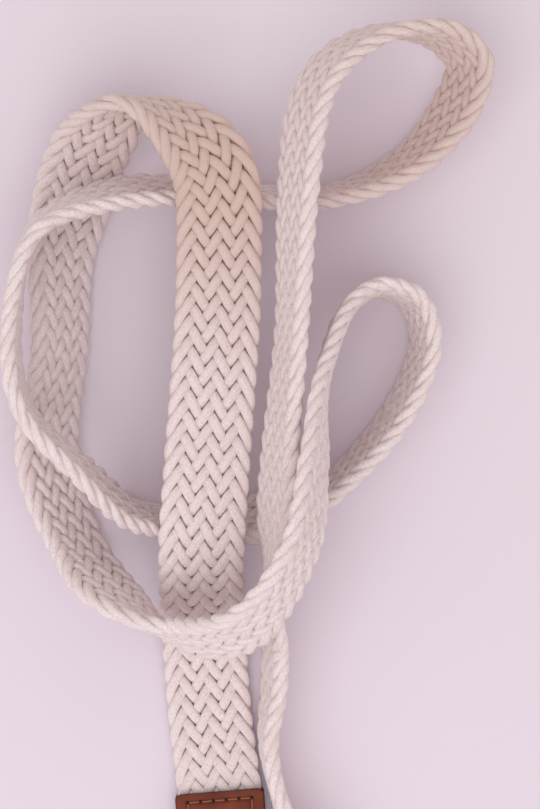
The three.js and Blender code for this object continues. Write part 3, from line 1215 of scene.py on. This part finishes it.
@dataclass
class Studio:
    """The table, the soft light and the camera straight above. Sizes are in metres."""

    route: Route
    camera_height: float = 0.85
    seen_length: float = 0.23785
    sensor: float = 36.0  # in millimetres, as the lens
    clip: tuple[float, float] = (0.01, 20.0)
    table_half: float = 3.0
    table_gap: float = 0.0001  # how far the table's top lies under the belt
    room: Triple = (1.0, 0.95, 0.955)
    room_strength: float = 0.62

    def build(self, finishes: Finishes) -> None:
        """Makes all of it.

        Args:
            finishes: The belt's finishes.
        """
        self._camera()
        self._table(finishes)
        self._lights()

    def _camera(self) -> None:
        """Places the camera over the middle of what it sees."""
        data = bpy.data.cameras.new("Camera")
        data.sensor_width = self.sensor
        data.lens = self.sensor * self.camera_height / self.seen_length
        data.clip_start, data.clip_end = self.clip
        camera = bpy.data.objects.new("Camera", data)
        camera.location = (self.route.shift[0] * MM, self.route.shift[1] * MM, self.camera_height)
        bpy.context.scene.collection.objects.link(camera)
        bpy.context.scene.camera = camera

    def _table(self, finishes: Finishes) -> None:
        """Lays a wide plane just under the belt.

        Args:
            finishes: The belt's finishes.
        """
        mesh = bpy.data.meshes.new("Table")
        half = self.table_half
        corners = [(-half, -half, 0), (half, -half, 0), (half, half, 0), (-half, half, 0)]
        mesh.from_pydata(corners, [], [(0, 1, 2, 3)])
        table = link("Table", mesh)
        table.location.z = -self.table_gap
        mesh.materials.append(finishes.table)

    def _lights(self) -> None:
        """Adds a bright soft room, a broad lamp above and a weak warm one from behind."""
        world = bpy.data.worlds.new("Soft room")
        world.use_nodes = True
        background = world.node_tree.nodes["Background"]
        background.inputs["Color"].default_value = (*self.room, 1.0)
        background.inputs["Strength"].default_value = self.room_strength
        bpy.context.scene.world = world
        bpy.context.scene.view_settings.view_transform = "Standard"
        self._area("Key", place=(-0.15, -0.36, 1.0), size=1.15, power=6.1, colour=(0.965, 0.985, 1.0))
        self._area("Warm fill", place=(0.45, 0.8, 0.6), size=0.8, power=0.7, colour=(1.0, 0.9, 0.84))

    @staticmethod
    def _area(name: str, place: Triple, size: float, power: float, colour: Triple) -> None:
        """Adds a square lamp that faces the middle of the belt.

        Args:
            name: The lamp's name.
            place: Where it hangs, in metres.
            size: Length of its side.
            power: Its power in watts.
            colour: Its light's colour.
        """
        data = bpy.data.lights.new(name, "AREA")
        data.size, data.energy, data.color = size, power, colour
        lamp = bpy.data.objects.new(name, data)
        lamp.location = place
        lamp.rotation_euler = (-lamp.location).to_track_quat("-Z", "Y").to_euler()
        bpy.context.scene.collection.objects.link(lamp)


# ---- Braid ----


@dataclass
class Braid:
    """The flat plait: each cord runs from edge to edge and back, over two others and under two."""

    route: Route
    cords: int = 13
    pitch: float = 3.05  # length of strap in which a cord moves one place sideways
    cord_width: float = 2.95
    cord_height: float = 2.45
    lift: float = 1.15  # how far a cord's middle stands over or under the strap's
    turn: float = 1.0  # how wide a cord's turn at the edge is, in places
    bluntness: float = 0.82  # 1 is an oval section, less is squarer
    fuller_on_top: float = 0.04
    wider_pressed: float = 0.02
    # Each stretch of painted shade: the route's point in its middle, its reach and the most shade it gets.
    painted_shade_stretches: tuple[tuple[int, float, float], ...] = ((7, 42.0, 1.0), (39, 60.0, 0.7))
    rings_per_place: int = 3
    section_points: int = 12

    def _sideways(self, phase: np.ndarray) -> np.ndarray:
        """Gives a cord's distance from the strap's middle line at its phase.

        Args:
            phase: How far the cord is on its way from edge to edge and back, in places.

        Returns:
            One distance for each phase.
        """
        from_edge = np.minimum(phase, 2 * self.cords - phase)
        near = np.minimum(from_edge, self.cords - from_edge)
        rounding = np.clip(self.turn - near, 0, None) ** 2 / (2 * self.turn)
        first_half = from_edge < self.cords / 2
        share = np.where(first_half, near + rounding, self.cords - near - rounding) / self.cords
        reach = (self.route.width - self.cord_width) / (1 - self.turn / self.cords)
        return (share - 0.5) * reach

    def _level(self, phase: np.ndarray) -> np.ndarray:
        """Gives a cord's height share, from -1 under the others to 1 over them, at its phase.

        Args:
            phase: How far the cord is on its way from edge to edge and back, in places.

        Returns:
            One share for each phase.
        """
        way = [0] + [1 if (place // 2) % 2 == 0 else -1 for place in range(self.cords - 1)]
        levels = np.array(way + way + [0], float)
        low = np.floor(phase).astype(int)
        part = (1 - np.cos(np.pi * (phase - low))) / 2
        return levels[low] * (1 - part) + levels[low + 1] * part

    def _section(self, squeeze: np.ndarray, level: np.ndarray) -> np.ndarray:
        """Draws the cord's section at every ring.

        Args:
            squeeze: Share of the full thickness at each ring.
            level: Height share at each ring.

        Returns:
            One section for each ring.
        """
        angle = np.linspace(0, 2 * np.pi, self.section_points, endpoint=False)
        x, y = (np.sign(way) * np.abs(way) ** self.bluntness for way in (np.cos(angle), np.sin(angle)))
        fuller = 1 + self.fuller_on_top * (np.abs(level) - 0.5)
        wide = self.cord_width / 2 * fuller * (1 + self.wider_pressed * (1 - squeeze))
        tall = self.cord_height / 2 * squeeze
        return np.stack([wide[:, None] * x, tall[:, None] * y], axis=2)

    def _painted_shade_along(self, along: np.ndarray) -> np.ndarray:
        """Gives how much painted shade the cotton gets: most where the strap bends over.

        Args:
            along: Distances along the strap.

        Returns:
            One share for each distance.
        """
        share = np.zeros(len(along))
        for point, reach, most in self.painted_shade_stretches:
            middle = self.route.length[point * self.route.per_stretch]
            share = np.maximum(share, most * np.exp(-(((along - middle) / reach) ** 2)))
        return share

    def _cord(self, index: int, material: bpy.types.Material) -> None:
        """Args:
            index: Which cord, from 0.
            material: Its finish.
        """
        route = self.route
        count = round(route.total / self.pitch * self.rings_per_place)
        along = np.linspace(0, route.total, count + 1)
        phase = (along / self.pitch + 2 * index) % (2 * self.cords)
        place, across, face = route.frames(along)
        squeeze, level = route.pressed(along), self._level(phase)
        sideways = self._sideways(phase)
        centres = place + across * sideways[:, None] + face * (level * self.lift * squeeze)[:, None]
        section = self._section(squeeze, level)
        name = f"braid_cord_{index + 1:02d}"
        mesh = skin(name, sweep(centres, face, section))
        # Painted shade, darker and warmer, on the stretches where the strap bends over.
        mark(mesh, "painted_shade_share", np.repeat(self._painted_shade_along(along), self.section_points))
        cord = link(name, mesh)
        dress(cord, material, Body.BELT, ["braided_strap"])

    def build(self, finishes: Finishes) -> None:
        """Makes every cord."""
        for index in range(self.cords):
            self._cord(index, finishes.cotton)


# ---- Leather ends ----


@dataclass
class SewnLeather:
    """What both leather ends share: soft cut edges, stitch grooves and the needle's pits."""

    finishes: Finishes
    seam: Seam
    place: Place
    corner: float = 1.5
    edge_radius: float = 0.5
    worn_edge: float = 0.5
    groove_half_width: float = 0.75
    upper_groove: float = 0.35
    lower_groove: float = 0.6
    pit: float = 0.2
    pit_width: float = 0.8
    darkest_groove_shade: float = 0.4  # the most painted shade that a stitch groove gets, added to the edge mark
    upper_thread: float = 0.2  # how far the upper thread lies under the leather's top
    lower_thread: float = 0.36  # height of the lower thread

    def pressed_in(
        self, points: np.ndarray, rows: Sequence[np.ndarray], depth: np.ndarray | float
    ) -> np.ndarray:
        """Gives how deep the leather is drawn in at each point, along its rows of stitches.

        Args:
            points: The leather's points.
            rows: Lines of needle holes.
            depth: The groove's depth at each point.

        Returns:
            One depth for each point.
        """
        spans = [span for row in rows for span in zip(row[:-1, :2], row[1:, :2])]
        holes = [(hole, hole) for hole in np.concatenate(rows)[:, :2]]
        from_row = np.clip(distance_to_spans(points, spans) / self.groove_half_width, 0, 1)
        from_hole = distance_to_spans(points, holes) / self.pit_width
        return depth * (1 - from_row**2) ** 2 + self.pit * np.exp(-(from_hole**2))

    def worn(self, across: np.ndarray, half: float) -> np.ndarray:
        """Gives how burnished a band is across its width: not at all inside, fully at its cut edges."""
        return np.clip((np.abs(across) - half + self.worn_edge) / self.worn_edge, 0, 1)

    def leather(
        self,
        name: str,
        mesh: bpy.types.Mesh,
        stands_for: str,
        cutter: bpy.types.Object | None = None,
    ) -> None:
        """Makes a leather piece: cut, with sharp corners, and dressed.

        Args:
            name: The piece's name.
            mesh: Its mesh.
            stands_for: The node that it is shown instead of.
            cutter: A block that is cut out of it.
        """
        piece = link(name, mesh)
        if cutter is not None:
            modifier = piece.modifiers.new("Slot", "BOOLEAN")
            modifier.operation, modifier.solver, modifier.object = "DIFFERENCE", "EXACT", cutter
            plain_copy(piece)
            bpy.data.objects.remove(cutter)
        piece.data.set_sharp_from_angle(angle=SHARP_ANGLE)
        dress(piece, self.finishes.leather, Body.BELT, [stands_for])


@dataclass
class Chape(SewnLeather):
    """The leather that is folded round the buckle's bar and sewn to the strap, with its keeper."""

    seed: int = 11
    slot_half_width: float = 3.0
    slot_reach: float = 13.0
    cutter_back: float = -10.0
    cutter_levels: tuple[float, float] = (-1.0, 12.0)
    step: float = 0.45  # between the points along the leather and across it
    cross_stitches: int = 5
    side_stitches: int = 4
    seam_inset: float = 2.5
    keeper_start: float = 14.0
    keeper_length: float = 10.0
    keeper_leather: float = 1.4
    keeper_top: float = 12.4
    keeper_half_width: float = 13.6
    keeper_corner: float = 1.9
    keeper_edge: float = 0.45
    keeper_steps: tuple[float, float] = (1.0, 0.6)  # along the loop and across it
    keeper_room: tuple[float, float] = (2.0, 1.0)  # flat leather before and behind the keeper
    rise: float = 8.0  # length in which the leather climbs onto the braid

    def _line(self) -> np.ndarray:
        """Draws the middle of the leather's thickness, from the lower layer's end to the upper one's.

        Returns:
            Points with x = 0.
        """
        half = LEATHER / 2
        fold = arc((0, BAR_HEIGHT), FOLD_RADIUS + half, -90, -270, steps=12)
        before, behind = self.keeper_room
        held = self.keeper_start + self.keeper_length + behind
        upper = [
            (2, BAR_HEIGHT + FOLD_RADIUS + half),
            (self.keeper_start - before, KEEPER_LEVEL + half),
            (held, KEEPER_LEVEL + half),
            (held + self.rise, UPPER_LEVEL + half),
            (CHAPE_LENGTH, UPPER_LEVEL + half),
        ]
        return side_line([(CHAPE_LENGTH, half), *fold, *upper], self.step, times=3)

    def _rows(self) -> list[np.ndarray]:
        """Lists the needle holes: up one side, across the end and down the other.

        Returns:
            One row of points.
        """
        half = self.cross_stitches * STITCH_PITCH / 2
        end = CHAPE_LENGTH - self.seam_inset
        ways = end - STITCH_PITCH * np.arange(self.side_stitches, -1, -1)
        left = [(-half, y) for y in ways]
        across = [(x, end) for x in np.linspace(-half, half, self.cross_stitches + 1)[1:-1]]
        right = [(half, y) for y in ways[::-1]]
        return [np.array(left + across + right)]

    def _cutter(self) -> bpy.types.Object:
        """Makes the upright block that cuts the prong's slot through the fold.

        Returns:
            The block.
        """
        half = self.slot_half_width
        end = arc((0, self.slot_reach - half), half, 0, 180, steps=16)
        outline = np.array([(half, self.cutter_back), *end, (-half, self.cutter_back)])
        rings = np.stack([np.column_stack([outline, np.full(len(outline), z)]) for z in self.cutter_levels])
        return link("slot_cutter", skin("slot_cutter", self.place.put(rings)))

    def _band(self) -> bpy.types.Mesh:
        """Makes the folded band with its grooves.

        Returns:
            The mesh.
        """
        line = self._line()
        run = run_along(line)
        from_end = np.clip(np.minimum(run, run[-1] - run), 0, self.corner)
        lost = self.corner - np.sqrt(self.corner**2 - (self.corner - from_end) ** 2)
        section = subdivided(rounded_section(LEATHER_WIDTH, LEATHER, self.edge_radius), self.step)
        narrowed = 1 - lost[:, None] / (LEATHER_WIDTH / 2)
        across = section[:, 0] * narrowed
        sections = np.stack([across, np.broadcast_to(section[:, 1], across.shape)], axis=2)
        outer = outward(line, (1, 0, 0))
        rings = sweep(line, outer, sections)
        lower = line[:, 2] < BAR_HEIGHT
        depth = np.where(lower, self.lower_groove, self.upper_groove)[:, None]
        reach = self.pressed_in(rings, self._rows(), depth) * (section[:, 1] > 0)
        reach *= (line[:, 1] > CHAPE_LENGTH / 2)[:, None]
        mesh = skin("chape", self.place.put(rings - reach[..., None] * outer[:, None]))
        sides = self.worn(section[:, 0], LEATHER_WIDTH / 2)
        ends = 1 - np.clip(from_end / self.worn_edge, 0, 1)
        worn = np.maximum(sides[None], ends[:, None])
        # Burnished edges, plus painted shade in the stitch grooves.
        mark(mesh, "edge", worn + np.clip(reach, 0, self.darkest_groove_shade))
        return mesh

    def _keeper(self) -> bpy.types.Mesh:
        """Makes the closed leather loop.

        Returns:
            The mesh.
        """
        half = self.keeper_leather / 2
        wide, radius = self.keeper_half_width + half, self.keeper_corner
        middle = self.keeper_start + self.keeper_length / 2
        low, high = CLOSED_LEVEL + half, self.keeper_top - half
        corners = [(wide, high, 0), (-wide, high, 90), (-wide, low, 180), (wide, low, 270)]
        points = []
        for x, z, angle in corners:
            centre = (x - math.copysign(radius, x), z - radius if z == high else z + radius)
            points += arc(centre, radius, angle, angle + 90, steps=8)
        along, across = self.keeper_steps
        flat = subdivided(np.array(points), along)
        line = np.column_stack([flat[:, 0], np.full(len(flat), middle), flat[:, 1]])
        outline = rounded_section(self.keeper_length, self.keeper_leather, self.keeper_edge)
        section = subdivided(outline, across)
        rings = sweep(line, outward(line, (0, 1, 0), True), section, True)
        mesh = skin("keeper", self.place.put(rings), True)
        worn = self.worn(section[:, 0], self.keeper_length / 2)
        mark(mesh, "edge", np.broadcast_to(worn, rings.shape[:2]))
        return mesh

    def build(self) -> None:
        """Makes the folded leather, the keeper and both rows of stitches."""
        self.leather("chape", self._band(), "chape_leather", self._cutter())
        self.leather("keeper", self._keeper(), "keeper_loop")
        for word, side, height in (
            ("upper", Side.UPPER, UPPER_LEVEL + LEATHER - self.upper_thread),
            ("lower", Side.LOWER, self.lower_thread),
        ):
            rows = [self.place.put(np.column_stack([row, np.full(len(row), height)])) for row in self._rows()]
            seed = self.seed + side.value
            self.seam.sew(f"chape_stitches_{word}", rows, side, seed, f"chape_stitching_{word}")


@dataclass
class Tip(SewnLeather):
    """The two round-ended leathers that are sewn together over the strap's other end."""

    seed: int = 21
    length: float = 74.0
    seam_inset: float = 3.65
    stitches: int = 44
    step_start: float = 19.0  # the front leather comes down past the braid's cut end
    step_end: float = 33.0
    across_points: int = 50
    side_points: int = 120
    end_steps: int = 70
    inner_insets: tuple[float, ...] = (11, 9, 7, 5.5)
    fine_reach: float = 1.2  # how far inside the stitches the fine rings begin
    fine_step: float = -0.25  # from there towards the edge

    def _outline(self, inset: float) -> np.ndarray:
        """Draws the leather's outline, moved inwards, always with the same number of points.

        Args:
            inset: How far it is moved.

        Returns:
            The outline's points.
        """
        half = LEATHER_WIDTH / 2 - inset
        radius = min(max(self.corner - inset, 0.02), half)
        round_start = self.length - LEATHER_WIDTH / 2
        first = inset + radius
        across = [(x, inset) for x in np.linspace(radius - half, half - radius, self.across_points)]
        right_corner = arc((half - radius, first), radius, -90, 0, steps=4)[1:]
        left_corner = arc((radius - half, first), radius, 180, 270, steps=4)[:-1]
        up = [(half, y) for y in np.linspace(first, round_start, self.side_points)[1:-1]]
        end = arc((0, round_start), half, 0, 180, self.end_steps)
        down = [(-half, y) for y in np.linspace(round_start, first, self.side_points)[1:-1]]
        return np.array(across + right_corner + up + end + down + left_corner)

    def _seam_level(self, y: np.ndarray) -> np.ndarray:
        """Gives the height of the front leather's underside."""
        part = np.clip((y - self.step_start) / (self.step_end - self.step_start), 0, 1)
        return UPPER_LEVEL + (CLOSED_LEVEL - UPPER_LEVEL) * part * part * (3 - 2 * part)

    def _row(self) -> np.ndarray:
        """Lists the needle holes: a closed row round the leather.

        Returns:
            The row's points.
        """
        outline = self._outline(self.seam_inset)
        outline = np.vstack([outline, outline[:1]])
        return resampled(outline, np.linspace(0, run_along(outline)[-1], self.stitches + 1))

    def _layer(self, name: str, side: Side) -> bpy.types.Mesh:
        """Makes one leather, with its groove on the side that shows.

        Args:
            name: The mesh's name.
            side: Upper for the front leather, lower for the back one.

        Returns:
            The mesh.
        """
        r = self.edge_radius
        fine = np.arange(self.seam_inset + self.fine_reach, r, self.fine_step)
        insets = np.concatenate([[LEATHER_WIDTH / 2, *self.inner_insets], fine])
        turn = [(r - r * math.cos(a), LEATHER - r + r * math.sin(a)) for a in np.radians([90, 60, 30, 0])]
        top = [(inset, LEATHER) for inset in insets]
        half = top + turn
        profile = half + [(inset, LEATHER - height) for inset, height in reversed(half)]
        rings = []
        for inset, height in profile:
            outline = self._outline(inset)
            base = self._seam_level(outline[:, 1]) if side is Side.UPPER else 0.0
            rings.append(np.column_stack([outline, base + np.full(len(outline), height)]))
        rings = np.stack(rings)
        shows = np.array([height > LEATHER / 2 for _, height in profile])
        if side is Side.LOWER:
            shows = ~shows
        depth = self.upper_groove if side is Side.UPPER else self.lower_groove
        reach = self.pressed_in(rings, [self._row()], depth) * shows[:, None]
        rings[..., 2] -= reach * side.value
        mesh = skin(name, self.place.put(rings), caps=False)
        worn = 1 - np.clip(np.array([inset for inset, _ in profile]) / self.worn_edge, 0, 1)
        # Burnished edges, plus painted shade in the stitch grooves.
        mark(mesh, "edge", worn[:, None] + np.clip(reach, 0, self.darkest_groove_shade))
        face_outwards(mesh, weld=True)
        return mesh

    def build(self) -> None:
        """Makes both leathers and both rows of stitches."""
        self.leather("tip_front", self._layer("tip_front", Side.UPPER), "tip_front_leather")
        self.leather("tip_back", self._layer("tip_back", Side.LOWER), "tip_back_leather")
        row = self._row()
        for word, side, height in (
            ("front", Side.UPPER, self._seam_level(row[:, 1]) + LEATHER - self.upper_thread),
            ("back", Side.LOWER, np.full(len(row), self.lower_thread)),
        ):
            line = self.place.put(np.column_stack([row, height]))
            seed = self.seed + side.value
            self.seam.sew(f"tip_stitches_{word}", [line], side, seed, f"tip_stitching_{word}")


# ---- Buckle ----


@dataclass
class Buckle:
    """The frame with its bar, and the prong that turns on it. Both are drawn about the bar."""

    place: Place
    droop: float = 4.2  # degrees that the frame's front hangs down to the table
    half_width: float = 19.0
    window_half_width: float = 14.3
    front: float = 30.0
    window_front: float = 24.0
    rear: float = 3.5
    thickness: float = 3.2
    corner: float = 3.65
    bar_radius: float = 2.1
    prong_width: float = 3.6
    prong_gap: float = 0.25
    eye_radius: float = 3.8
    arm_end: float = 32.0
    foot_length: float = 1.3  # length in which the frame's rod ends round off
    rod_rings: int = 150
    bar_rings: int = 40
    eye_steps: int = 48
    arm_rings: int = 70

    def _put(self, rings: np.ndarray) -> np.ndarray:
        """Tilts rings about the bar and moves them into the model's frame.

        Args:
            rings: Rings drawn about the bar.

        Returns:
            The same rings in the model's frame.
        """
        cos, sin = math.cos(math.radians(self.droop)), math.sin(math.radians(self.droop))
        tilted = rings @ np.array([[1, 0, 0], [0, cos, sin], [0, -sin, cos]])
        return self.place.put(tilted + np.array([0, 0, BAR_HEIGHT]))

    def _frame(self) -> bpy.types.Mesh:
        """Makes the open frame as one rod with soft corners, and its bar.

        Returns:
            The mesh.
        """
        side = (self.half_width + self.window_half_width) / 2
        end = (self.front + self.window_front) / 2
        r = self.corner
        path = [(-side, self.rear), *arc((r - side, r - end), r, 180, 270, steps=10)]
        path += [*arc((side - r, r - end), r, 270, 360, steps=10), (side, self.rear)]
        points = np.array(path)
        at = np.linspace(0, run_along(points)[-1], self.rod_rings)
        flat = softened(resampled(points, at), times=2)
        line = np.column_stack([flat, np.zeros(len(flat))])
        narrow, wide = self.half_width - self.window_half_width, self.front - self.window_front
        towards_front = np.clip((-flat[:, 1] - end + 2 * r) / (2 * r), 0, 1)
        width = narrow + (wide - narrow) * towards_front
        from_end = np.clip(np.minimum(at, at[-1] - at) / self.foot_length, 0, 1)
        share = 0.5 + 0.5 * np.sqrt(1 - (1 - from_end) ** 2)
        unit = rounded_section(1, 1, radius=0.3, per_corner=6)
        section = unit[None] * np.stack([width * share, self.thickness * share], axis=1)[:, None]
        rod = skin("rod", self._put(sweep(line, UPRIGHT, section)))
        reach = self.window_half_width + 1
        across = np.linspace([-reach, 0, 0], [reach, 0, 0], self.bar_rings)
        thickness = 2 * self.bar_radius
        round_bar = rounded_section(thickness, thickness, self.bar_radius - 0.001, per_corner=8)
        bar = skin("bar", self._put(sweep(across, UPRIGHT, round_bar)))
        return joined("buckle", [rod, bar])

    def _prong(self) -> bpy.types.Mesh:
        """Makes the eye round the bar, and the arm that lies over the frame's front.

        Returns:
            The mesh.
        """
        inner = self.bar_radius + self.prong_gap
        middle, wall = (self.eye_radius + inner) / 2, self.eye_radius - inner
        circle = np.array(arc((0, 0), middle, 360, 0, self.eye_steps)[:-1])
        ring = np.column_stack([np.zeros(len(circle)), circle])
        section = subdivided(rounded_section(self.prong_width, wall, radius=0.45), step=0.5)
        eye = skin("eye", self._put(sweep(ring, outward(ring, (1, 0, 0), True), section, True)), True)
        rest = self.thickness / 2 + self.prong_gap
        # Along the arm: distance in front of the bar, middle's height, width and height of the section.
        stations = np.array(
            [
                (middle, 0.9, 3.3, 2.2),
                (9, 1.75, 3.5, 2.8),
                (17, 2.3, 3.3, 2.4),
                (self.window_front, rest + 1.0, 3.0, 1.9),
                (self.front, rest + 0.95, 2.6, 1.75),
                (31.4, rest + 0.55, 2.2, 1.5),
                (self.arm_end, rest + 0.1, 1.5, 0.9),
            ]
        )
        at = np.linspace(middle, self.arm_end, self.arm_rings)
        height, wide, tall = (np.interp(at, stations[:, 0], stations[:, k]) for k in (1, 2, 3))
        line = np.column_stack([np.zeros(len(at)), -at, height])
        unit = rounded_section(1, 1, radius=0.34, per_corner=6)
        sections = unit[None] * np.stack([wide, tall], axis=1)[:, None]
        arm = skin("arm", self._put(sweep(line, UPRIGHT, sections)))
        return joined("prong", [eye, arm])

    def build(self, finishes: Finishes) -> None:
        """Makes the frame and the prong.

        Args:
            finishes: The belt's finishes.
        """
        for name, mesh, body, node in (
            ("buckle", self._frame(), Body.FRAME, "buckle_frame"),
            ("prong", self._prong(), Body.PRONG, "buckle_prong"),
        ):
            piece = link(name, mesh)
            mesh.set_sharp_from_angle(angle=SHARP_ANGLE)
            dress(piece, finishes.brass, body, [node])


def dress_tapes(finishes: Finishes) -> None:
    """Gives the tapes round the strap's cut ends their weave. They keep their own shape.

    Args:
        finishes: The belt's finishes.
    """
    for name in ("chape_end_tape", "tip_end_tape"):
        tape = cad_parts[name]
        tape.data.materials.clear()
        tape.data.materials.append(finishes.tape)
        LOG.info("%s: woven tape", name)


def main() -> None:
    """Builds the belt's pieces in order and reports them."""
    logging.basicConfig(level=logging.INFO, format="%(name)s: %(message)s", stream=sys.stdout)
    route = Route(ROUTE_POINTS)
    LOG.info("strap of %.0f mm, shifted by %s", route.total, np.round(route.shift, 2))
    finishes = Finishes()
    Studio(route).build(finishes)
    Braid(route).build(finishes)
    seam = Seam(finishes)
    chape_place = Place.from_route(CHAPE_PLACE, route)
    Chape(finishes, seam, chape_place).build()
    Buckle(chape_place).build(finishes)
    Tip(finishes, seam, Place.from_route(TIP_PLACE, route)).build()
    dress_tapes(finishes)


if __name__ == "__main__":
    main()
